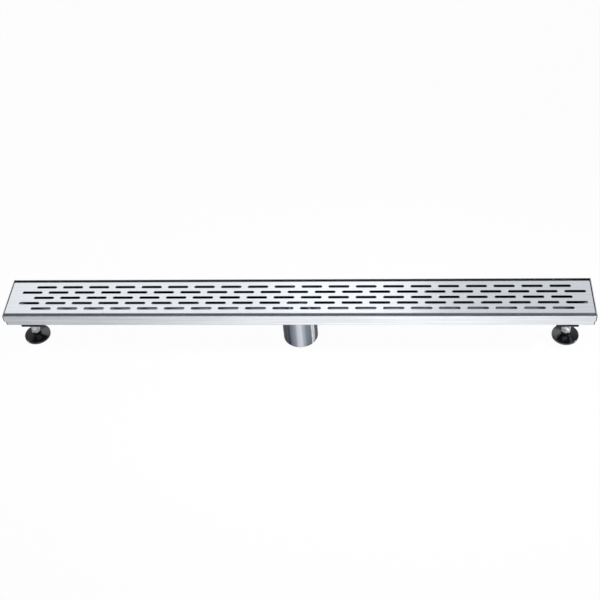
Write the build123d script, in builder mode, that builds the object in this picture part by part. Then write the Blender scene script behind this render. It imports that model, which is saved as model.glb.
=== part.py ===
from build123d import *
import os

# Linear shower drain: a slotted grate in a stepped channel with a middle outlet and two levelling legs.
# Millimetres. X runs along the drain, Z is up, and the origin lies on the floor under the channel's middle.

# Channel, folded from one sheet with a plate welded on each end
drain_height = 87.3  # floor to walking surface, with the legs at their middle setting
channel_length = 895.0
channel_width = 78.0
channel_gauge = 1.2
inner_bend_radius = 0.5
end_edge_radius = 1.0  # the dressed weld between the folded sheet and its end plates
rim_edge_radius = 0.5  # the cut edge of the sheet, rounded off all round the rim
step_inset = 5.0  # each lower side wall stands this far inside the upper one
trough_depth = 26.0  # rim to the underside of the level floor
fall_depth = 4.0
fall_margin = 1.3  # level strip left between the dip and the bend of the wall
fall_end_margin = 3.0  # level floor left between the dip and each leg bracket

# Outlet
outlet_offset = 5.1  # the outlet and the slot pattern sit right of the channel's middle
pipe_diameter = 54.0
pipe_wall = 1.5
pipe_length = 55.5
pipe_end_chamfer = 0.4
landing_margin = 1.5  # flat floor left round the pipe

# Grate, folded from one sheet
grate_gauge = 1.5
grate_depth = 11.8  # walking surface to the foot of the folded skirts
grate_bend_radius = 3.0
grate_side_gap = 2.5
grate_end_gap = 1.5
slot_length = 31.5
slot_width = 4.5
slot_pitch = 41.6
slot_row_spacing = 11.3
slot_end_margin = 7.5  # least plain sheet beyond the last slots
short_rows = 3  # these lie between the longer ones, half a pitch out of step

# Hair strainer, a pressed cup that hangs in the outlet
strainer_gauge = 1.0
strainer_lap = 1.9  # flange width that lies on the floor round the outlet
strainer_side_gap = 1.5
strainer_depth = 20.0  # inside, from the flange down
strainer_bend_radius = 2.0
strainer_hole = 5.0
strainer_ring_spacing = 7.5
strainer_rings = 2

# Legs
leg_end_margin = 29.5  # end of the channel to the leg's axis, before the shift
leg_shift = -3.0  # the pair of legs sits left of the channel's middle
strip_width = 25.0
strip_gauge = 4.5
strip_bend_radius = 2.0  # inside radius
bracket_weld_length = 22.0
bracket_web_distance = 15.0  # stud axis to the outer face of the upright web
bracket_reach = 15.0  # stud axis to the outer end of the lower flange
bracket_hole_clearance = 0.5
stud_diameter = 8.0
stud_top_gap = 6.9  # top of the stud to the underside of the channel
stud_chamfer = 0.8
collar_height = 6.5  # hex at the foot of the stud, for a spanner
leg_retraction = 5.4  # bare thread between the collar and the jam nut
nut_width = 13.0
nut_height = 6.5
jam_nut_height = 4.0
nut_corner_cut = 0.6
nut_clearance = 0.05
washer_diameter = 16.0
washer_thickness = 1.6
washer_clearance = 0.2
foot_diameter = 41.0
foot_rim_height = 4.0
foot_cone_height = 7.0
foot_height = 9.8
foot_hub_diameter = 15.0
foot_floor = 2.0  # plastic left under the end of the stud
foot_edge_radius = 1.2

# Heights and outlines that follow from the sizes above
outer_bend_radius = inner_bend_radius + channel_gauge
ledge_z = drain_height - grate_depth
trough_floor_z = drain_height - trough_depth
landing_z = trough_floor_z - fall_depth
step_z = ledge_z - channel_gauge
trough_width = channel_width - 2 * step_inset
leg_spacing = channel_length - 2 * leg_end_margin
bracket_inner_end = bracket_web_distance + bracket_weld_length
fall_length = leg_spacing - 2 * (abs(leg_shift) + bracket_inner_end + fall_end_margin)
fall_width = trough_width - 2 * (outer_bend_radius + fall_margin)
landing_size = pipe_diameter + 2 * landing_margin
pipe_radius = pipe_diameter / 2
bore_radius = pipe_radius - pipe_wall
grate_length = channel_length - 2 * (channel_gauge + grate_end_gap)
grate_width = channel_width - 2 * (channel_gauge + grate_side_gap)
slot_field = grate_length - 2 * (abs(outlet_offset) + slot_end_margin)
long_row_slots = int((slot_field - slot_length) // slot_pitch) + 1
short_row_slots = long_row_slots - 1
long_rows = short_rows - 1
cup_radius = bore_radius - strainer_side_gap - strainer_gauge
strainer_z = landing_z + channel_gauge + strainer_gauge
strainer_floor_z = strainer_z - strainer_depth
stud_radius = stud_diameter / 2
jam_nut_z = foot_height + collar_height + leg_retraction
height_nut_z = jam_nut_z + jam_nut_height
lower_washer_z = height_nut_z + nut_height
flange_bottom_z = lower_washer_z + washer_thickness
flange_top_z = flange_bottom_z + strip_gauge
top_nut_z = flange_top_z + washer_thickness
stud_top_z = trough_floor_z - stud_top_gap
legs = {"left": -1, "right": 1}
leg_x = {side: leg_shift + outward * leg_spacing / 2 for side, outward in legs.items()}

os.makedirs("parts", exist_ok=True)

# Channel: a wide upper part for the grate, a narrower trough, and a floor that dips to the outlet
with BuildPart() as channel:
    with BuildSketch(Plane.YZ):
        with BuildLine():
            folds = FilletPolyline(
                (-channel_width / 2, drain_height),
                (-channel_width / 2, step_z),
                (-trough_width / 2, step_z),
                (-trough_width / 2, trough_floor_z),
                (trough_width / 2, trough_floor_z),
                (trough_width / 2, step_z),
                (channel_width / 2, step_z),
                (channel_width / 2, drain_height),
                radius=[outer_bend_radius, inner_bend_radius, outer_bend_radius] * 2,
            )
            Line(folds @ 1, folds @ 0)
        make_face()
    extrude(amount=channel_length / 2, both=True)
    with BuildSketch(Plane.XY.offset(trough_floor_z)):
        Rectangle(fall_length, fall_width)
    with BuildSketch(Plane.XY.offset(landing_z)):
        with Locations((outlet_offset, 0)):
            Rectangle(landing_size, landing_size)
    loft(ruled=True)
    rim = channel.faces().sort_by(Axis.Z)[-1]
    offset(amount=-channel_gauge, openings=rim, kind=Kind.INTERSECTION)
    ends = channel.faces().filter_by(Axis.X).sort_by(Axis.X)
    weld_edges = ends[0].edges().sort_by(Axis.Z)[:-1] + ends[-1].edges().sort_by(Axis.Z)[:-1]
    fillet(weld_edges, radius=end_edge_radius)
    rim = channel.faces().sort_by(Axis.Z)[-1]
    fillet(rim.edges(), radius=rim_edge_radius)
    with Locations((outlet_offset, 0, landing_z + channel_gauge)):
        Hole(radius=bore_radius, depth=channel_gauge)
channel.part.label = "channel"
export_step(channel.part, "parts/channel.step")

# Outlet pipe: a plain tube welded under the landing
with BuildPart() as outlet_pipe:
    with BuildSketch(Plane.XY.offset(landing_z)):
        with Locations((outlet_offset, 0)):
            Circle(pipe_radius)
            Circle(bore_radius, mode=Mode.SUBTRACT)
    extrude(amount=-pipe_length)
    pipe_end = outlet_pipe.faces().sort_by(Axis.Z)[0]
    chamfer(pipe_end.edges(), length=pipe_end_chamfer)
outlet_pipe.part.label = "outlet_pipe"
export_step(outlet_pipe.part, "parts/outlet_pipe.step")

# Hair strainer: a flanged cup with rings of holes in its floor, drawn along the sheet's upper face
outlet_axis = Axis((outlet_offset, 0, 0), (0, 0, 1))
outlet_section = Plane((outlet_offset, 0, 0), x_dir=(1, 0, 0), z_dir=(0, -1, 0))
with BuildPart() as hair_strainer:
    with BuildSketch(outlet_section):
        with BuildLine():
            FilletPolyline(
                (bore_radius + strainer_lap, strainer_z),
                (cup_radius, strainer_z),
                (cup_radius, strainer_floor_z),
                (0, strainer_floor_z),
                radius=strainer_bend_radius,
            )
            offset(amount=strainer_gauge, side=Side.LEFT)
        make_face()
    revolve(axis=outlet_axis)
    with BuildSketch(Plane((outlet_offset, 0, strainer_floor_z))):
        Circle(strainer_hole / 2)
        for ring in range(1, strainer_rings + 1):
            with PolarLocations(ring * strainer_ring_spacing, 6 * ring):
                Circle(strainer_hole / 2)
    extrude(amount=-strainer_gauge, mode=Mode.SUBTRACT)
hair_strainer.part.label = "hair_strainer"
export_step(hair_strainer.part, "parts/hair_strainer.step")

# Grate: a sheet folded down along both long sides, with staggered rows of slots
with BuildPart() as grate:
    with BuildSketch(Plane.YZ):
        with BuildLine():
            FilletPolyline(
                (-grate_width / 2, ledge_z),
                (-grate_width / 2, drain_height),
                (grate_width / 2, drain_height),
                (grate_width / 2, ledge_z),
                radius=grate_bend_radius,
            )
            offset(amount=grate_gauge, side=Side.RIGHT)
        make_face()
    extrude(amount=grate_length / 2, both=True)
    with BuildSketch(Plane((outlet_offset, 0, drain_height))):
        with GridLocations(slot_pitch, 2 * slot_row_spacing, short_row_slots, short_rows):
            SlotOverall(slot_length, slot_width)
        with GridLocations(slot_pitch, 2 * slot_row_spacing, long_row_slots, long_rows):
            SlotOverall(slot_length, slot_width)
    extrude(amount=-grate_gauge, mode=Mode.SUBTRACT)
grate.part.label = "grate"
export_step(grate.part, "parts/grate.step")


def hex_blank(height):
    """A hexagon bar of the nuts' width that stands on the origin, with its corners turned off at both ends."""
    with BuildPart() as blank:
        with BuildSketch():
            RegularPolygon(radius=nut_width / 2, side_count=6, major_radius=False)
        extrude(amount=height)
        corner_radius = blank.vertices().sort_by(Axis.X)[-1].X
        with BuildSketch(Plane.XZ):
            with BuildLine():
                Polyline(
                    (0, 0),
                    (nut_width / 2, 0),
                    (corner_radius, nut_corner_cut),
                    (corner_radius, height - nut_corner_cut),
                    (nut_width / 2, height),
                    (0, height),
                    close=True,
                )
            make_face()
        revolve(axis=Axis.Z, mode=Mode.INTERSECT)
    return blank.part


# Legs: a bent strip under the channel, a stud with a hex collar, and a foot moulded on the stud below it
collar = hex_blank(collar_height)
for side, outward in legs.items():
    leg_section = Plane((leg_x[side], 0, 0), x_dir=(outward, 0, 0), z_dir=(0, -outward, 0))

    with BuildPart() as bracket:
        with BuildSketch(leg_section):
            with BuildLine():
                FilletPolyline(
                    (-bracket_inner_end, trough_floor_z),
                    (-bracket_web_distance, trough_floor_z),
                    (-bracket_web_distance, flange_top_z),
                    (bracket_reach, flange_top_z),
                    radius=[strip_bend_radius + strip_gauge, strip_bend_radius],
                )
                offset(amount=strip_gauge, side=Side.RIGHT)
            make_face()
        extrude(amount=strip_width / 2, both=True)
        with Locations((leg_x[side], 0, flange_top_z)):
            Hole(radius=stud_radius + bracket_hole_clearance, depth=strip_gauge)
    bracket.part.label = f"{side}_bracket"
    export_step(bracket.part, f"parts/{side}_bracket.step")

    with BuildPart() as stud:
        with BuildSketch(Plane((leg_x[side], 0, foot_floor))):
            Circle(stud_radius)
        extrude(amount=stud_top_z - foot_floor)
        chamfer(stud.faces().sort_by(Axis.Z)[-1].edges(), length=stud_chamfer)
        with Locations((leg_x[side], 0, foot_height)):
            add(collar)
    stud.part.label = f"{side}_stud"
    export_step(stud.part, f"parts/{side}_stud.step")

    with BuildPart() as foot:
        with BuildSketch(leg_section):
            with BuildLine():
                Polyline(
                    (0, 0),
                    (foot_diameter / 2, 0),
                    (foot_diameter / 2, foot_rim_height),
                    (foot_hub_diameter / 2, foot_cone_height),
                    (foot_hub_diameter / 2, foot_height),
                    (0, foot_height),
                    close=True,
                )
            make_face()
        revolve(axis=Axis((leg_x[side], 0, 0), (0, 0, 1)))
        rim_edges = foot.edges().filter_by(GeomType.CIRCLE).sort_by(SortBy.RADIUS)[-2:]
        fillet(rim_edges, radius=foot_edge_radius)
        with Locations((leg_x[side], 0, foot_height)):
            Hole(radius=stud_radius, depth=foot_height - foot_floor)
    foot.part.label = f"{side}_foot"
    export_step(foot.part, f"parts/{side}_foot.step")

# Hex nuts: a height nut and a thin jam nut below each bracket's flange, and a nut on top of it
nut_levels = {
    "height_nuts": (height_nut_z, nut_height),
    "jam_nuts": (jam_nut_z, jam_nut_height),
    "top_nuts": (top_nut_z, nut_height),
}
for name, (nut_z, height) in nut_levels.items():
    blank = hex_blank(height)
    with BuildPart() as nuts:
        with Locations(*[(x, 0, nut_z) for x in leg_x.values()]):
            add(blank)
        with Locations(*[(x, 0, nut_z + height) for x in leg_x.values()]):
            Hole(radius=stud_radius + nut_clearance, depth=height)
    nuts.part.label = name
    export_step(nuts.part, f"parts/{name}.step")

# Washers: one under and one over the lower flange of each bracket
for name, washer_z in {"lower_washers": lower_washer_z, "upper_washers": flange_top_z}.items():
    with BuildPart() as washers:
        with BuildSketch(Plane.XY.offset(washer_z)):
            with Locations(*[(x, 0) for x in leg_x.values()]):
                Circle(washer_diameter / 2)
                Circle(stud_radius + washer_clearance, mode=Mode.SUBTRACT)
        extrude(amount=washer_thickness)
    washers.part.label = name
    export_step(washers.part, f"parts/{name}.step")
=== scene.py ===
from math import atan2, cos, pi, radians, sin

import bmesh
import bpy
from mathutils import Matrix, Vector


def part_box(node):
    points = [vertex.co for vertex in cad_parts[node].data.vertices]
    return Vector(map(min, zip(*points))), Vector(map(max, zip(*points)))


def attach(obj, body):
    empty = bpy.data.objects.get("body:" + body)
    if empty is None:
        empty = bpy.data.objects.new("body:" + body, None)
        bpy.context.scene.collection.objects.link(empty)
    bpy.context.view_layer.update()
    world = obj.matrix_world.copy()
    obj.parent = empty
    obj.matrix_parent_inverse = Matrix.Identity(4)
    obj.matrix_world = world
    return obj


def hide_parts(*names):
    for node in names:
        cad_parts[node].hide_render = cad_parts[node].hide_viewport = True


# A linear shower drain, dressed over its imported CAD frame.
# The sections follow the assembly: channel, outlet, strainer, grate, legs, then the studio round it.
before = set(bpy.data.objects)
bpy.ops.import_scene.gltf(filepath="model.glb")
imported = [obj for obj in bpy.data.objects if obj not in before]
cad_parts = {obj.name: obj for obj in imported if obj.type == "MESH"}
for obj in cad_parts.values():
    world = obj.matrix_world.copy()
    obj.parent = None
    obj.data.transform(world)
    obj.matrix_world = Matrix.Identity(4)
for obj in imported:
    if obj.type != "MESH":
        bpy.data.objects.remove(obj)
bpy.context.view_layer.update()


# Channel
# The stepped tray that is bedded in the floor: one sheet of stainless steel, folded to a ledge along
# each side that carries the grate. Its floor falls to the outlet, and a plate is welded on at each end.

# The scene is in metres, so sizes in millimetres are multiplied by MM.
MM = 0.001


def linear(hex_colour):
    """The linear RGBA of an sRGB hex colour such as C8CACC."""
    shares = [int(hex_colour[i:i + 2], 16) / 255 for i in (0, 2, 4)]
    return [s / 12.92 if s <= 0.04045 else ((s + 0.055) / 1.055) ** 2.4 for s in shares] + [1.0]


def add_node(tree, kind, settings=None, values=None, links=None):
    """Adds a node with its settings and input values, and links its inputs to other nodes' outputs."""
    made = tree.nodes.new(kind)
    for name, setting in (settings or {}).items():
        setattr(made, name, setting)
    for socket, value in (values or {}).items():
        made.inputs[socket].default_value = value
    for socket, output in (links or {}).items():
        tree.links.new(output, made.inputs[socket])
    return made


def new_material(name):
    """An empty node material: its tree and the Principled shader that its output shows."""
    material = bpy.data.materials.new(name)
    material.use_nodes = True
    tree = material.node_tree
    tree.nodes.clear()
    shader = add_node(tree, "ShaderNodeBsdfPrincipled")
    add_node(tree, "ShaderNodeOutputMaterial", links={"Surface": shader.outputs["BSDF"]})
    return material, tree, shader


def new_piece(name, shape, materials, body):
    """Turns a bmesh into a piece with these materials, which rides on a body."""
    bmesh.ops.recalc_face_normals(shape, faces=shape.faces)
    mesh = bpy.data.meshes.new(name)
    shape.to_mesh(mesh)
    shape.free()
    for material in materials:
        mesh.materials.append(material)
    piece = bpy.data.objects.new(name, mesh)
    bpy.context.scene.collection.objects.link(piece)
    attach(piece, body)
    return piece


# Cold-rolled stainless: a slightly hazy grey mirror with faint rolling lines along the sheet.
# The real lines are about 0.1 mm apart; they are drawn coarser so that they show.
rolling_line_width = 1.4 * MM
rolling_line_length = 160 * MM
channel_steel, tree, shader = new_material("stainless_cold_rolled_sheet")
place = add_node(tree, "ShaderNodeTexCoord")
stretch = add_node(
    tree, "ShaderNodeMapping",
    values={"Scale": (1 / rolling_line_length, 1 / rolling_line_width, 1 / rolling_line_width)},
    links={"Vector": place.outputs["Object"]})
lines = add_node(
    tree, "ShaderNodeTexNoise", values={"Scale": 1.0, "Detail": 3.0, "Roughness": 0.6},
    links={"Vector": stretch.outputs["Vector"]})
tint = add_node(tree, "ShaderNodeValToRGB", links={"Fac": lines.outputs["Fac"]})
tint.color_ramp.elements[0].position = 0.3
tint.color_ramp.elements[0].color = linear("CDD0D5")
tint.color_ramp.elements[1].position = 0.7
tint.color_ramp.elements[1].color = linear("F4F5F6")
haze = add_node(
    tree, "ShaderNodeMapRange", values={"To Min": 0.12, "To Max": 0.2},
    links={"Value": lines.outputs["Fac"]})
relief = add_node(
    tree, "ShaderNodeBump", values={"Strength": 0.12, "Distance": 0.02 * MM},
    links={"Height": lines.outputs["Fac"]})
shader.inputs["Metallic"].default_value = 1.0
tree.links.new(tint.outputs["Color"], shader.inputs["Base Color"])
tree.links.new(haze.outputs["Result"], shader.inputs["Roughness"])
tree.links.new(relief.outputs["Normal"], shader.inputs["Normal"])

# Mill-finish stainless on the faces that are never polished, with a cloudy bloom left by the pickling
# bath. Its colour
# is partly painted shade: far darker than the outside, it stands in for the shade inside the trough and
# under the grate, and keeps what shows through the slots dark.
mill_bloom = 6 * MM
mill_finish_painted_shade, tree, shader = new_material("stainless_mill_finish_painted_shade")
place = add_node(tree, "ShaderNodeTexCoord")
bloom = add_node(
    tree, "ShaderNodeTexNoise", values={"Scale": 1 / mill_bloom, "Detail": 4.0},
    links={"Vector": place.outputs["Object"]})
tint = add_node(tree, "ShaderNodeValToRGB", links={"Fac": bloom.outputs["Fac"]})
tint.color_ramp.elements[0].position = 0.3
tint.color_ramp.elements[0].color = linear("6C7074")
tint.color_ramp.elements[1].position = 0.7
tint.color_ramp.elements[1].color = linear("83878B")
haze = add_node(
    tree, "ShaderNodeMapRange", values={"To Min": 0.1, "To Max": 0.18},
    links={"Value": bloom.outputs["Fac"]})
shader.inputs["Metallic"].default_value = 1.0
tree.links.new(tint.outputs["Color"], shader.inputs["Base Color"])
tree.links.new(haze.outputs["Result"], shader.inputs["Roughness"])

# The same sheet on the floor of the trough, with painted light and shade: a middle strip is painted paler
# and more satin, standing in for the light that comes through the slots, and its sides are painted dark as
# the shade under the ledges.
# A round gradient, squeezed across the drain to the strip's half width, fades the strip into them.
strip_half_width = 17 * MM
trough_floor_light_and_shade, tree, shader = new_material("stainless_trough_floor_painted_light_and_shade")
place = add_node(tree, "ShaderNodeTexCoord")
across = add_node(
    tree, "ShaderNodeMapping", {"vector_type": "TEXTURE"}, {"Scale": (1.0, strip_half_width, 1.0)},
    {"Vector": place.outputs["Object"]})
strip = add_node(
    tree, "ShaderNodeTexGradient", {"gradient_type": "SPHERICAL"},
    links={"Vector": across.outputs["Vector"]})
tint = add_node(tree, "ShaderNodeValToRGB", links={"Fac": strip.outputs["Fac"]})
tint.color_ramp.elements[0].position = 0.0
tint.color_ramp.elements[0].color = linear("6C7074")
tint.color_ramp.elements[1].position = 0.35
tint.color_ramp.elements[1].color = linear("EEF0F2")
haze = add_node(
    tree, "ShaderNodeMapRange", values={"To Min": 0.14, "To Max": 0.34},
    links={"Value": tint.outputs["Color"]})
shader.inputs["Metallic"].default_value = 1.0
tree.links.new(tint.outputs["Color"], shader.inputs["Base Color"])
tree.links.new(haze.outputs["Result"], shader.inputs["Roughness"])

# Dressed weld: the seam where the end plate meets the side, ground off. Its near-black, mottled colour is
# a painted dark reflection of the room that these rounded upright corners mirror.
mottle_patch = 3 * MM
painted_dark_corner, tree, shader = new_material("stainless_painted_dark_corner")
place = add_node(tree, "ShaderNodeTexCoord")
patches = add_node(
    tree, "ShaderNodeTexNoise", values={"Scale": 1 / mottle_patch, "Detail": 3.0},
    links={"Vector": place.outputs["Object"]})
tint = add_node(tree, "ShaderNodeValToRGB", links={"Fac": patches.outputs["Fac"]})
tint.color_ramp.elements[0].color = linear("1A1E25")
tint.color_ramp.elements[1].color = linear("454C56")
haze = add_node(
    tree, "ShaderNodeMapRange", values={"To Min": 0.3, "To Max": 0.5},
    links={"Value": patches.outputs["Fac"]})
shader.inputs["Metallic"].default_value = 1.0
tree.links.new(tint.outputs["Color"], shader.inputs["Base Color"])
tree.links.new(haze.outputs["Result"], shader.inputs["Roughness"])

# The CAD tray is copied and merged to one skin, because the one sheet has four finishes, three of them
# with painted shade, light or dark reflection. An edge is cut across it near each end, where the strip of
# the sides next to the end plate is the seam with its painted dark reflection.
trough_half_width = 33.4 * MM
trough_floor_top = 70 * MM
rim_depth = 2 * MM
dark_corner_width = 1.5 * MM
merge_distance = 0.002 * MM
cut_slack = 0.001 * MM
inward_slack = 0.1 * MM
same_plane = radians(0.5)
sharp_fold = radians(35)
# Shares of a face's normal, from 0 to 1, at which it counts as flat, level, looking up or looking out.
flat_share = 0.999
level_share = 0.9
upward_share = 0.3
outward_share = 0.1
channel_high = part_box("channel")[1]
channel_finishes = [channel_steel, mill_finish_painted_shade, painted_dark_corner, trough_floor_light_and_shade]
tray = bmesh.new()
tray.from_mesh(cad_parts["channel"].data)
bmesh.ops.remove_doubles(tray, verts=tray.verts, dist=merge_distance)
bmesh.ops.dissolve_limit(tray, angle_limit=same_plane, verts=tray.verts, edges=tray.edges)
for end in (-1, 1):
    bmesh.ops.bisect_plane(
        tray, geom=tray.verts[:] + tray.edges[:] + tray.faces[:], dist=cut_slack,
        plane_co=(end * (channel_high.x - dark_corner_width), 0, 0), plane_no=(end, 0, 0))
bmesh.ops.recalc_face_normals(tray, faces=tray.faces)
for face in tray.faces:
    face.smooth = max(abs(share) for share in face.normal) < flat_share
    middle = face.calc_center_median()
    # Above zero where the face looks away from the middle of the drain, and below where it looks to it.
    outward = face.normal.y * middle.y
    inside = face.normal.z > upward_share or outward < -inward_slack
    # Painted shade on the faces inside the trough, with the painted light strip on its floor.
    if inside and abs(middle.y) < trough_half_width and middle.z < channel_high.z - rim_depth:
        on_floor = face.normal.z > level_share and middle.z < trough_floor_top
        face.material_index = channel_finishes.index(trough_floor_light_and_shade if on_floor else mill_finish_painted_shade)
    # Painted dark reflection along the upright end corners.
    elif abs(middle.x) > channel_high.x - dark_corner_width and outward > outward_share * abs(middle.y):
        face.material_index = channel_finishes.index(painted_dark_corner)
for edge in tray.edges:
    edge.smooth = edge.calc_face_angle(0) < sharp_fold
folded_channel = new_piece("folded_channel", tray, channel_finishes, "drain")
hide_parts("channel")


# Outlet pipe
# A drawn stainless tube, polished lengthwise, then welded all round under the lowest part of the channel.
# Its upright light and dark bands are painted reflections.
pipe_low, pipe_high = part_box("outlet_pipe")
pipe_axis = (pipe_low + pipe_high) / 2
pipe_radius = (pipe_high.y - pipe_low.y) / 2


def dress(material, *node_names):
    """Gives CAD nodes this material in place of the plain one that they were packed with."""
    for name in node_names:
        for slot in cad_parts[name].material_slots:
            slot.material = material


# Polished tube with painted reflections: upright bands round the pipe, each lighter or darker than the one
# beside it, are painted into its colour in place of the studio that it mirrors. A painted white highlight
# runs down its right side, and the lightest bands are the most satin. Faint scratches run along them,
# drawn coarser than the real 0.05 mm so that they show. Bearings run in degrees from the front of the pipe
# towards its right side.
painted_reflection_bands = {
    -150: "8A9098", -112: "5A616A", -68: "4A515A", -52: "3F4650", -43: "6C737C", -38: "363D47",
    -33: "3A414B", -26: "646B74", -13: "848A92", -2: "BFC2C7", 7: "C9CBCF", 17: "9CA1A8", 27: "737A83",
    38: "6E757E", 43: "7A818A", 46: "F8F8F9", 59: "F8F8F9", 63: "7A818A", 72: "58606A", 118: "7C828A",
    165: "B4B8BE"}
left_side_painted_reflection = "8A9098"
front_of_ramp = 0.25
scratch_width = 0.4 * MM
scratch_length = 40 * MM
pipe_steel, tree, shader = new_material("stainless_tube_painted_reflections")
place = add_node(tree, "ShaderNodeTexCoord")
stretch = add_node(
    tree, "ShaderNodeMapping",
    values={"Scale": (1 / scratch_width, 1 / scratch_width, 1 / scratch_length)},
    links={"Vector": place.outputs["Object"]})
scratches = add_node(
    tree, "ShaderNodeTexNoise", values={"Scale": 1.0, "Detail": 2.0},
    links={"Vector": stretch.outputs["Vector"]})
from_axis = add_node(
    tree, "ShaderNodeMapping", values={"Location": (-pipe_axis.x, -pipe_axis.y, 0.0)},
    links={"Vector": place.outputs["Object"]})
bearing = add_node(
    tree, "ShaderNodeTexGradient", {"gradient_type": "RADIAL"},
    links={"Vector": from_axis.outputs["Vector"]})
# Painted reflections: the colour of the pipe is set by bearing round its axis.
painted_reflections = add_node(tree, "ShaderNodeValToRGB", links={"Fac": bearing.outputs["Fac"]})
painted_reflections.color_ramp.interpolation = "EASE"
for degrees, painted_colour in painted_reflection_bands.items():
    painted_reflections.color_ramp.elements.new((front_of_ramp + degrees / 360) % 1).color = linear(painted_colour)
# The ramp begins and ends at the left side of the pipe, so its own two stops are one band there.
for end_stop in (0, -1):
    painted_reflections.color_ramp.elements[end_stop].color = linear(left_side_painted_reflection)
haze = add_node(
    tree, "ShaderNodeMapRange",
    values={"From Min": 0.6, "From Max": 0.9, "To Min": 0.22, "To Max": 0.6},
    links={"Value": painted_reflections.outputs["Color"]})
relief = add_node(
    tree, "ShaderNodeBump", values={"Strength": 0.12, "Distance": 0.02 * MM},
    links={"Height": scratches.outputs["Fac"]})
shader.inputs["Metallic"].default_value = 1.0
tree.links.new(painted_reflections.outputs["Color"], shader.inputs["Base Color"])
tree.links.new(haze.outputs["Result"], shader.inputs["Roughness"])
tree.links.new(relief.outputs["Normal"], shader.inputs["Normal"])
dress(pipe_steel, "outlet_pipe")


# Outlet weld
# The bead that joins the pipe to the channel floor: stainless filler laid down in one pass,
# with the close ripples of a hand weld and a straw-coloured heat tint.
bead_radius = 1.5 * MM
bead_sides = 10
bead_ripples = 96
steps_per_ripple = 4
ripple_depth = 0.1

# Weld metal: a satin bead, mottled in straw and grey-blue where the heat coloured it.
heat_patch = 4 * MM
weld_metal, tree, shader = new_material("stainless_weld_bead")
place = add_node(tree, "ShaderNodeTexCoord")
heat = add_node(
    tree, "ShaderNodeTexNoise", values={"Scale": 1 / heat_patch, "Detail": 3.0},
    links={"Vector": place.outputs["Object"]})
tint = add_node(tree, "ShaderNodeValToRGB", links={"Fac": heat.outputs["Fac"]})
tint.color_ramp.elements[0].position = 0.3
tint.color_ramp.elements[0].color = linear("8F949B")
tint.color_ramp.elements[1].position = 0.7
tint.color_ramp.elements[1].color = linear("D2C8AE")
haze = add_node(
    tree, "ShaderNodeMapRange", values={"To Min": 0.25, "To Max": 0.4},
    links={"Value": heat.outputs["Fac"]})
shader.inputs["Metallic"].default_value = 1.0
tree.links.new(tint.outputs["Color"], shader.inputs["Base Color"])
tree.links.new(haze.outputs["Result"], shader.inputs["Roughness"])

# A ring is spun round the top of the pipe, then swelled and pinched from ripple to ripple.
bead = bmesh.new()
bead_start = Vector((pipe_axis.x + pipe_radius, pipe_axis.y, pipe_high.z))
bmesh.ops.create_circle(
    bead, segments=bead_sides, radius=bead_radius,
    matrix=Matrix.Translation(bead_start) @ Matrix.Rotation(pi / 2, 4, "X"))
bmesh.ops.spin(
    bead, geom=bead.verts[:] + bead.edges[:], cent=(pipe_axis.x, pipe_axis.y, 0), axis=(0, 0, 1),
    angle=2 * pi, steps=steps_per_ripple * bead_ripples, use_merge=True)
for vert in bead.verts:
    round_pipe = atan2(vert.co.y - pipe_axis.y, vert.co.x - pipe_axis.x)
    core_x = pipe_axis.x + pipe_radius * cos(round_pipe)
    core_y = pipe_axis.y + pipe_radius * sin(round_pipe)
    core = Vector((core_x, core_y, pipe_high.z))
    vert.co = core + (vert.co - core) * (1 + ripple_depth * sin(bead_ripples * round_pipe))
for face in bead.faces:
    face.smooth = True
new_piece("outlet_weld", bead, (weld_metal,), "drain")


# Hair strainer
# A small cup that catches hair and soap, pressed from thin stainless sheet and perforated.
# It hangs in the outlet by its flange, and lifts out once the grate is off.

# Pressed sheet: bright, with a slight orange peel where the metal was drawn over the punch.
# The real peel is about 0.2 mm across; it is drawn coarser so that it shows.
strainer_peel = 0.9 * MM
strainer_steel, tree, shader = new_material("stainless_pressed_perforated_sheet")
place = add_node(tree, "ShaderNodeTexCoord")
peel = add_node(
    tree, "ShaderNodeTexNoise", values={"Scale": 1 / strainer_peel, "Detail": 2.0},
    links={"Vector": place.outputs["Object"]})
tint = add_node(tree, "ShaderNodeValToRGB", links={"Fac": peel.outputs["Fac"]})
tint.color_ramp.elements[0].color = linear("A9ADB2")
tint.color_ramp.elements[1].color = linear("C6CACE")
haze = add_node(
    tree, "ShaderNodeMapRange", values={"To Min": 0.16, "To Max": 0.26},
    links={"Value": peel.outputs["Fac"]})
relief = add_node(
    tree, "ShaderNodeBump", values={"Strength": 0.2, "Distance": 0.03 * MM},
    links={"Height": peel.outputs["Fac"]})
shader.inputs["Metallic"].default_value = 1.0
tree.links.new(tint.outputs["Color"], shader.inputs["Base Color"])
tree.links.new(haze.outputs["Result"], shader.inputs["Roughness"])
tree.links.new(relief.outputs["Normal"], shader.inputs["Normal"])
dress(strainer_steel, "hair_strainer")


# Grate
# The cover that is walked on: stainless sheet punched with five staggered rows of slots, folded
# down along both long sides, then brushed along its length. It rests on the ledge of the channel.

# Brushed sheet: a pale satin mirror with fine lines along the grate, drawn coarser than the real 0.05 mm
# so that they show.
brush_line_width = 1.1 * MM
brush_line_length = 120 * MM
grate_steel, tree, shader = new_material("stainless_brushed_sheet")
place = add_node(tree, "ShaderNodeTexCoord")
stretch = add_node(
    tree, "ShaderNodeMapping",
    values={"Scale": (1 / brush_line_length, 1 / brush_line_width, 1 / brush_line_width)},
    links={"Vector": place.outputs["Object"]})
lines = add_node(
    tree, "ShaderNodeTexNoise", values={"Scale": 1.0, "Detail": 4.0, "Roughness": 0.65},
    links={"Vector": stretch.outputs["Vector"]})
tint = add_node(tree, "ShaderNodeValToRGB", links={"Fac": lines.outputs["Fac"]})
tint.color_ramp.elements[0].position = 0.3
tint.color_ramp.elements[0].color = linear("DFE1E4")
tint.color_ramp.elements[1].position = 0.7
tint.color_ramp.elements[1].color = linear("EEF0F2")
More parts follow.
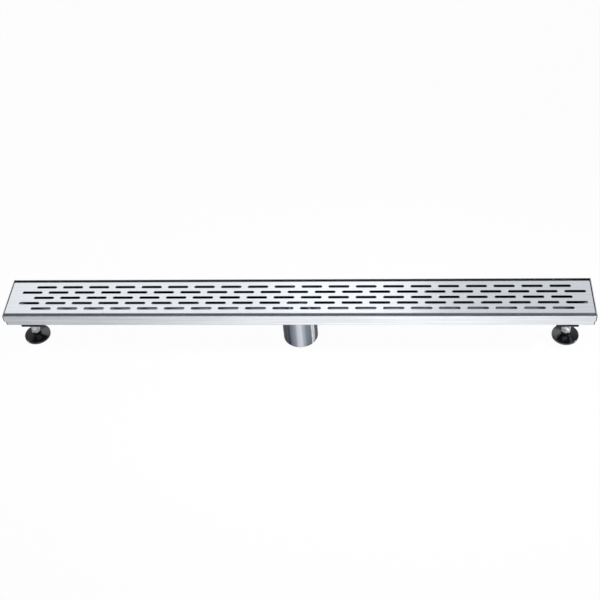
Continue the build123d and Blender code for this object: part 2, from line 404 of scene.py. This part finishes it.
haze = add_node(
    tree, "ShaderNodeMapRange", values={"To Min": 0.17, "To Max": 0.25},
    links={"Value": lines.outputs["Fac"]})
relief = add_node(
    tree, "ShaderNodeBump", values={"Strength": 0.15, "Distance": 0.02 * MM},
    links={"Height": lines.outputs["Fac"]})
shader.inputs["Metallic"].default_value = 1.0
tree.links.new(tint.outputs["Color"], shader.inputs["Base Color"])
tree.links.new(haze.outputs["Result"], shader.inputs["Roughness"])
tree.links.new(relief.outputs["Normal"], shader.inputs["Normal"])

# The CAD sheet is copied and merged to one skin, and its slots get the rounded lip that a punch draws
# into the sheet. The underside, the slots' walls and the inner part of their lips take the dark mill
# finish as painted shade.
lip_radius = 0.4 * MM
lip_segments = 3
lip_angle = radians(60)
top_slack = 0.01 * MM
slot_field_margin = 5 * MM
# Upward shares of a normal: a lip above the first is brushed, and the underside is below the second.
brushed_share = 0.9
underside_share = -0.5
grate_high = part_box("grate")[1]
slot_field_x = grate_high.x - slot_field_margin
slot_field_y = grate_high.y - slot_field_margin
grate_finishes = [grate_steel, mill_finish_painted_shade]
sheet = bmesh.new()
sheet.from_mesh(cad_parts["grate"].data)
bmesh.ops.remove_doubles(sheet, verts=sheet.verts, dist=merge_distance)
bmesh.ops.dissolve_limit(sheet, angle_limit=same_plane, verts=sheet.verts, edges=sheet.edges)
lips = [
    edge for edge in sheet.edges
    if all(vert.co.z > grate_high.z - top_slack and abs(vert.co.x) < slot_field_x for vert in edge.verts)
    and edge.calc_face_angle(0) > lip_angle]
bmesh.ops.bevel(
    sheet, geom=lips, offset=lip_radius, offset_type="OFFSET", segments=lip_segments, profile=0.5,
    affect="EDGES", material=-1)
bmesh.ops.recalc_face_normals(sheet, faces=sheet.faces)
for face in sheet.faces:
    face.smooth = abs(face.normal.z) < flat_share
    middle = face.calc_center_median()
    in_slot_field = abs(middle.x) < slot_field_x and abs(middle.y) < slot_field_y
    in_slot = in_slot_field and abs(face.normal.z) < brushed_share
    # Painted shade: the slots and the underside take the dark mill finish, which keeps the slots dark.
    if in_slot or face.normal.z < underside_share:
        face.material_index = grate_finishes.index(mill_finish_painted_shade)
for edge in sheet.edges:
    edge.smooth = edge.calc_face_angle(0) < sharp_fold
slotted_grate = new_piece("slotted_grate", sheet, grate_finishes, "drain")
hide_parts("grate")


# Leg brackets
# Two strips of mild steel, bent to a Z and coloured near black as painted shade, one near each end of the
# drain.
# The upper flange is welded under the channel, and the lower one takes the stud.

# Powder coat with painted shade: near black, standing in for the shade under the channel, with a soft
# sheen and a fine orange peel that breaks up the highlights. The coat's matting agent dulls its sheen, so
# its IOR is below the 1.5 of the plain resin.
coat_peel = 0.8 * MM
black_shade_coat, tree, shader = new_material("black_powder_coat_painted_shade")
place = add_node(tree, "ShaderNodeTexCoord")
peel = add_node(
    tree, "ShaderNodeTexNoise", values={"Scale": 1 / coat_peel, "Detail": 2.0},
    links={"Vector": place.outputs["Object"]})
relief = add_node(
    tree, "ShaderNodeBump", values={"Strength": 0.3, "Distance": 0.05 * MM},
    links={"Height": peel.outputs["Fac"]})
haze = add_node(
    tree, "ShaderNodeMapRange", values={"To Min": 0.35, "To Max": 0.5},
    links={"Value": peel.outputs["Fac"]})
shader.inputs["Base Color"].default_value = linear("0C0D0F")
shader.inputs["IOR"].default_value = 1.3
tree.links.new(haze.outputs["Result"], shader.inputs["Roughness"])
tree.links.new(relief.outputs["Normal"], shader.inputs["Normal"])
dress(black_shade_coat, "left_bracket", "right_bracket")


# Studs, nuts and washers
# Steel studs with a rolled M8 thread and a hex collar near the foot, and the hex nuts and flat washers
# that clamp each stud to the lower flange of its bracket. All of them are zinc plated.

# Bright zinc: pale and silvery with a soft sheen, and fine cloudy marks from the plating bath.
plating_mark = 0.7 * MM
bright_steel, tree, shader = new_material("bright_zinc_plated_fastener")
place = add_node(tree, "ShaderNodeTexCoord")
marks = add_node(
    tree, "ShaderNodeTexNoise", values={"Scale": 1 / plating_mark, "Detail": 2.0},
    links={"Vector": place.outputs["Object"]})
tint = add_node(tree, "ShaderNodeValToRGB", links={"Fac": marks.outputs["Fac"]})
tint.color_ramp.elements[0].color = linear("D6D9DC")
tint.color_ramp.elements[1].color = linear("F5F5F4")
haze = add_node(
    tree, "ShaderNodeMapRange", values={"To Min": 0.38, "To Max": 0.52},
    links={"Value": marks.outputs["Fac"]})
shader.inputs["Metallic"].default_value = 1.0
tree.links.new(tint.outputs["Color"], shader.inputs["Base Color"])
tree.links.new(haze.outputs["Result"], shader.inputs["Roughness"])
dress(bright_steel, "lower_washers", "upper_washers")

# The nuts are copies of the CAD ones, each spun to the turn, in degrees, at which it came tight.
nut_turns = {
    "height_nuts": {"left": 34, "right": 26},
    "jam_nuts": {"left": 19, "right": 44},
    "top_nuts": {"left": 8, "right": 15}}
nut_sharp_edge = radians(20)
stud_box = {side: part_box(side + "_stud") for side in ("left", "right")}
stud_axis = {side: (low + high) / 2 for side, (low, high) in stud_box.items()}
for node_name, turn_by_side in nut_turns.items():
    nuts = bmesh.new()
    nuts.from_mesh(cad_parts[node_name].data)
    bmesh.ops.remove_doubles(nuts, verts=nuts.verts, dist=merge_distance)
    for side, turn in turn_by_side.items():
        axis = stud_axis[side]
        on_stud = [vert for vert in nuts.verts if (vert.co.x < 0) == (axis.x < 0)]
        bmesh.ops.rotate(nuts, verts=on_stud, cent=axis, matrix=Matrix.Rotation(radians(turn), 3, "Z"))
    for edge in nuts.edges:
        edge.smooth = edge.calc_face_angle(0) < nut_sharp_edge
    for face in nuts.faces:
        face.smooth = True
    turned_nuts = new_piece("turned_" + node_name, nuts, (bright_steel,), "drain")
    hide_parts(node_name)

# The thread's profile is wound up each stud, past both of its ends, and cut off level there.
# The hex collar stands on the boss of the foot.
stud_radius = 4.0 * MM
thread_pitch = 1.25 * MM
thread_depth = 0.65 * MM
crest_start = 0.45 * thread_pitch
crest_end = 0.55 * thread_pitch
thread_steps = 24
spare_turns = 3
thread_seam = 0.01 * MM
boss_top = 12.9 * MM
collar_top = 16.3 * MM
collar_edge = 0.4 * MM
collar_turn = {"left": radians(17), "right": radians(50)}
for side, (stud_low, stud_high) in stud_box.items():
    axis = stud_axis[side]
    collar_radius = stud_high.x - axis.x
    stud = bmesh.new()
    turns = int((stud_high.z - stud_low.z) / thread_pitch) + spare_turns
    start = stud_low.z - thread_pitch
    profile = ((thread_depth, 0), (0, crest_start), (0, crest_end), (thread_depth, thread_pitch))
    flank = [
        stud.verts.new((axis.x + stud_radius - depth, axis.y, start + rise)) for depth, rise in profile]
    edges = [stud.edges.new(pair) for pair in zip(flank, flank[1:])]
    bmesh.ops.spin(
        stud, geom=flank + edges, cent=axis, axis=(0, 0, 1), dvec=(0, 0, thread_pitch / thread_steps),
        angle=2 * pi * turns, steps=thread_steps * turns)
    bmesh.ops.remove_doubles(stud, verts=stud.verts, dist=thread_seam)
    for height, direction in ((stud_low.z, -1), (stud_high.z, 1)):
        cut = bmesh.ops.bisect_plane(
            stud, geom=stud.verts[:] + stud.edges[:] + stud.faces[:], dist=cut_slack,
            plane_co=(0, 0, height), plane_no=(0, 0, direction), clear_outer=True)
        rim = [part for part in cut["geom_cut"] if isinstance(part, bmesh.types.BMEdge)]
        bmesh.ops.holes_fill(stud, edges=rim, sides=0)
    collar_middle = Vector((axis.x, axis.y, (collar_top + boss_top) / 2))
    collar = bmesh.ops.create_cone(
        stud, cap_ends=True, segments=6, radius1=collar_radius, radius2=collar_radius,
        depth=collar_top - boss_top,
        matrix=Matrix.Translation(collar_middle) @ Matrix.Rotation(collar_turn[side], 4, "Z"))
    collar_edges = {edge for vert in collar["verts"] for edge in vert.link_edges}
    bmesh.ops.bevel(
        stud, geom=list(collar_edges), offset=collar_edge, segments=2, profile=0.5, affect="EDGES",
        material=-1)
    threaded_stud = new_piece(
        side + "_threaded_stud", stud, (bright_steel,), side + "_leg")
    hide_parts(side + "_stud")


# Feet
# Discs of black polypropylene that stand on the sub-floor. Each is moulded in one with a round boss
# about the lower end of its stud.

# Moulded plastic: a polished black skin, slightly uneven in gloss, that shows the lamps as soft patches.
flow_mark = 3 * MM
black_plastic, tree, shader = new_material("black_polypropylene_moulded")
place = add_node(tree, "ShaderNodeTexCoord")
flow = add_node(
    tree, "ShaderNodeTexNoise", values={"Scale": 1 / flow_mark, "Detail": 3.0},
    links={"Vector": place.outputs["Object"]})
haze = add_node(
    tree, "ShaderNodeMapRange", values={"To Min": 0.14, "To Max": 0.24},
    links={"Value": flow.outputs["Fac"]})
shader.inputs["Base Color"].default_value = linear("0A0B0E")
shader.inputs["Coat Weight"].default_value = 1.0
shader.inputs["Coat Roughness"].default_value = 0.12
tree.links.new(haze.outputs["Result"], shader.inputs["Roughness"])
dress(black_plastic, "left_foot", "right_foot")

# The boss covers the lower half of the hex collar.
boss_bottom = 9.6 * MM
boss_radius = 7.1 * MM
boss_edge = 1.2 * MM
boss_flat_share = 0.99
top_edge_slack = 0.1 * MM
for side, axis in stud_axis.items():
    boss_middle = Vector((axis.x, axis.y, (boss_top + boss_bottom) / 2))
    boss = bmesh.new()
    bmesh.ops.create_cone(
        boss, cap_ends=True, segments=64, radius1=boss_radius, radius2=boss_radius,
        depth=boss_top - boss_bottom, matrix=Matrix.Translation(boss_middle))
    top_edges = [
        edge for edge in boss.edges
        if all(vert.co.z > boss_top - top_edge_slack for vert in edge.verts)]
    bmesh.ops.bevel(
        boss, geom=top_edges, offset=boss_edge, segments=4, profile=0.5, affect="EDGES", material=-1)
    for face in boss.faces:
        face.smooth = abs(face.normal.z) < boss_flat_share
    new_piece(side + "_foot_boss", boss, (black_plastic,), side + "_leg")


# Studio
# A white floor, soft panels above and behind the drain, spots at its sides and in front of it,
# a dim room round it all, and the camera where the photograph was taken from.

# The floor lies just under the lowest place that the legs wind down to, so that no foot sinks into it.
floor_size = 40.0
floor_drop = 8.2 * MM
floor = bmesh.new()
bmesh.ops.create_grid(
    floor, x_segments=1, y_segments=1, size=floor_size / 2,
    matrix=Matrix.Translation((0, 0, -floor_drop)))
floor_mesh = bpy.data.meshes.new("floor")
floor.to_mesh(floor_mesh)
floor.free()
floor_object = bpy.data.objects.new("floor", floor_mesh)
bpy.context.scene.collection.objects.link(floor_object)

# Matt white paint: for the camera the floor is nearly plain white, with what is left of the drain's soft
# shadow. In reflections it is the lit floor itself, slightly whitened.
camera_whiteness = 0.97
reflected_whiteness = 0.08
floor_paint, tree, shader = new_material("white_studio_floor")
shader.inputs["Base Color"].default_value = linear("F4F4F4")
shader.inputs["Roughness"].default_value = 0.9
ray = add_node(tree, "ShaderNodeLightPath")
seen = add_node(
    tree, "ShaderNodeMath", {"operation": "MULTIPLY"}, {1: camera_whiteness},
    {0: ray.outputs["Is Camera Ray"]})
mirrored = add_node(
    tree, "ShaderNodeMath", {"operation": "MAXIMUM"},
    links={0: ray.outputs["Is Glossy Ray"], 1: ray.outputs["Is Transmission Ray"]})
whitened = add_node(
    tree, "ShaderNodeMath", {"operation": "MULTIPLY_ADD"}, {1: reflected_whiteness},
    {0: mirrored.outputs[0], 2: seen.outputs[0]})
white = add_node(
    tree, "ShaderNodeEmission", values={"Color": linear("FFFFFF"), "Strength": 1.0})
surface = add_node(
    tree, "ShaderNodeMixShader",
    links={0: whitened.outputs[0], 1: shader.outputs["BSDF"], 2: white.outputs["Emission"]})
tree.links.new(surface.outputs["Shader"], tree.nodes["Material Output"].inputs["Surface"])
floor_mesh.materials.append(floor_paint)


def aim(lamp, place, target):
    """Stands a lamp at place, facing target."""
    lamp_object = bpy.data.objects.new(lamp.name, lamp)
    lamp_object.location = place
    lamp_object.rotation_euler = (Vector(target) - Vector(place)).to_track_quat("-Z", "Y").to_euler()
    bpy.context.scene.collection.objects.link(lamp_object)


def stand_spot(name, power, beam, softness, place, target):
    """Stands a spot lamp whose beam, given in degrees, fades from its middle to its edge."""
    lamp = bpy.data.lights.new(name, "SPOT")
    lamp.energy = power
    lamp.spot_size = radians(beam)
    lamp.spot_blend = 1.0
    lamp.shadow_soft_size = softness
    aim(lamp, place, target)


# Three panels side by side stand behind the drain and lean over it. The walking surface mirrors them:
# the middle one is the brightest, and the right one the dimmest. A radiance of 1 looks white.
# Each is given by its place along the drain, its width and its radiance.
panel_y = 1.09
panel_z = 1.24
panel_height = 1.0
panels = {
    "left_panel": (-0.73, 1.06, 0.76),
    "middle_panel": (0.02, 0.44, 0.97),
    "right_panel": (0.6, 0.72, 0.5)}
for name, (panel_x, panel_width, radiance) in panels.items():
    lamp = bpy.data.lights.new(name, "AREA")
    lamp.shape = "RECTANGLE"
    lamp.size = panel_width
    lamp.size_y = panel_height
    lamp.energy = radiance * pi * panel_width * panel_height
    aim(lamp, (panel_x, panel_y, panel_z), (panel_x, 0, 0))

# A soft spot from each side makes a pool of light on the floor in front of the drain, which the front
# wall and the outlet pipe mirror.
spot_y = -0.35
spot_z = 1.8
pool = (0.14, -0.12, 0.0)
for name, spot_x, power in (("right_spot", 2.4, 510), ("left_spot", -2.4, 190)):
    stand_spot(name, power, beam=18, softness=0.3, place=(spot_x, spot_y, spot_z), target=pool)

# A narrow low spot in front picks out the fasteners and the foot of each leg.
kicker_place = (0.0, -2.4, 0.35)
fastener_z = 0.02
for name, leg_x, power in (("left_kicker", -0.42, 140), ("right_kicker", 0.415, 60)):
    stand_spot(name, power, beam=2, softness=0.03, place=kicker_place, target=(leg_x, 0, fastener_z))

# The room: pale walls to the left, to the right and behind, a pale patch of ceiling, and darkness round
# the camera, which the folded edges of the grate and the channel mirror as dark lines. The camera sees
# it as plain white. Each pale side fades in over a range of the direction's share along its axis.
room_wall = (0.28, 0.3, 0.33, 1.0)
room_dark = (0.056, 0.062, 0.072, 1.0)
plain_white = (0.98, 0.98, 0.98, 1.0)
side_walls = {"From Min": 0.4, "From Max": 0.52}
back_wall = {"From Min": 0.45, "From Max": 0.65}
ceiling_patch = {"From Min": 0.94, "From Max": 0.965}
world = bpy.data.worlds.new("room")
world.use_nodes = True
bpy.context.scene.world = world
tree = world.node_tree
place = add_node(tree, "ShaderNodeTexCoord")
toward = add_node(tree, "ShaderNodeSeparateXYZ", links={"Vector": place.outputs["Generated"]})
sideways = add_node(tree, "ShaderNodeMath", {"operation": "ABSOLUTE"}, links={0: toward.outputs["X"]})
at_sides = add_node(
    tree, "ShaderNodeMapRange", values=side_walls, links={"Value": sideways.outputs[0]})
behind = add_node(
    tree, "ShaderNodeMapRange", values=back_wall, links={"Value": toward.outputs["Y"]})
overhead = add_node(
    tree, "ShaderNodeMapRange", values=ceiling_patch, links={"Value": toward.outputs["Z"]})
walls = add_node(
    tree, "ShaderNodeMath", {"operation": "MAXIMUM"},
    links={0: at_sides.outputs[0], 1: behind.outputs[0]})
pale = add_node(
    tree, "ShaderNodeMath", {"operation": "MAXIMUM"},
    links={0: walls.outputs[0], 1: overhead.outputs[0]})
room = add_node(
    tree, "ShaderNodeMix", {"data_type": "RGBA"}, {"A": room_dark, "B": room_wall},
    {"Factor": pale.outputs[0]})
ray = add_node(tree, "ShaderNodeLightPath")
backdrop = add_node(
    tree, "ShaderNodeMix", {"data_type": "RGBA"}, {"B": plain_white},
    {"Factor": ray.outputs["Is Camera Ray"], "A": room.outputs["Result"]})
tree.links.new(backdrop.outputs["Result"], tree.nodes["Background"].inputs["Color"])

# The camera stands and looks as it was fitted to the grid of slots in the photograph.
camera_place = Vector((143.26 * MM, -1092.73 * MM, 1240.11 * MM))
camera_turn = radians(7.028)
camera_pitch = radians(46.468)
camera_roll = radians(-5.230)
camera_lens = 62.9
camera_data = bpy.data.cameras.new("camera")
camera_data.lens = camera_lens
camera = bpy.data.objects.new("camera", camera_data)
camera.matrix_world = (
    Matrix.Translation(camera_place)
    @ Matrix.Rotation(camera_turn, 4, "Z")
    @ Matrix.Rotation(pi / 2 - camera_pitch, 4, "X")
    @ Matrix.Rotation(camera_roll, 4, "Z"))
bpy.context.scene.collection.objects.link(camera)
bpy.context.scene.camera = camera
bpy.context.scene.view_settings.view_transform = "Standard"
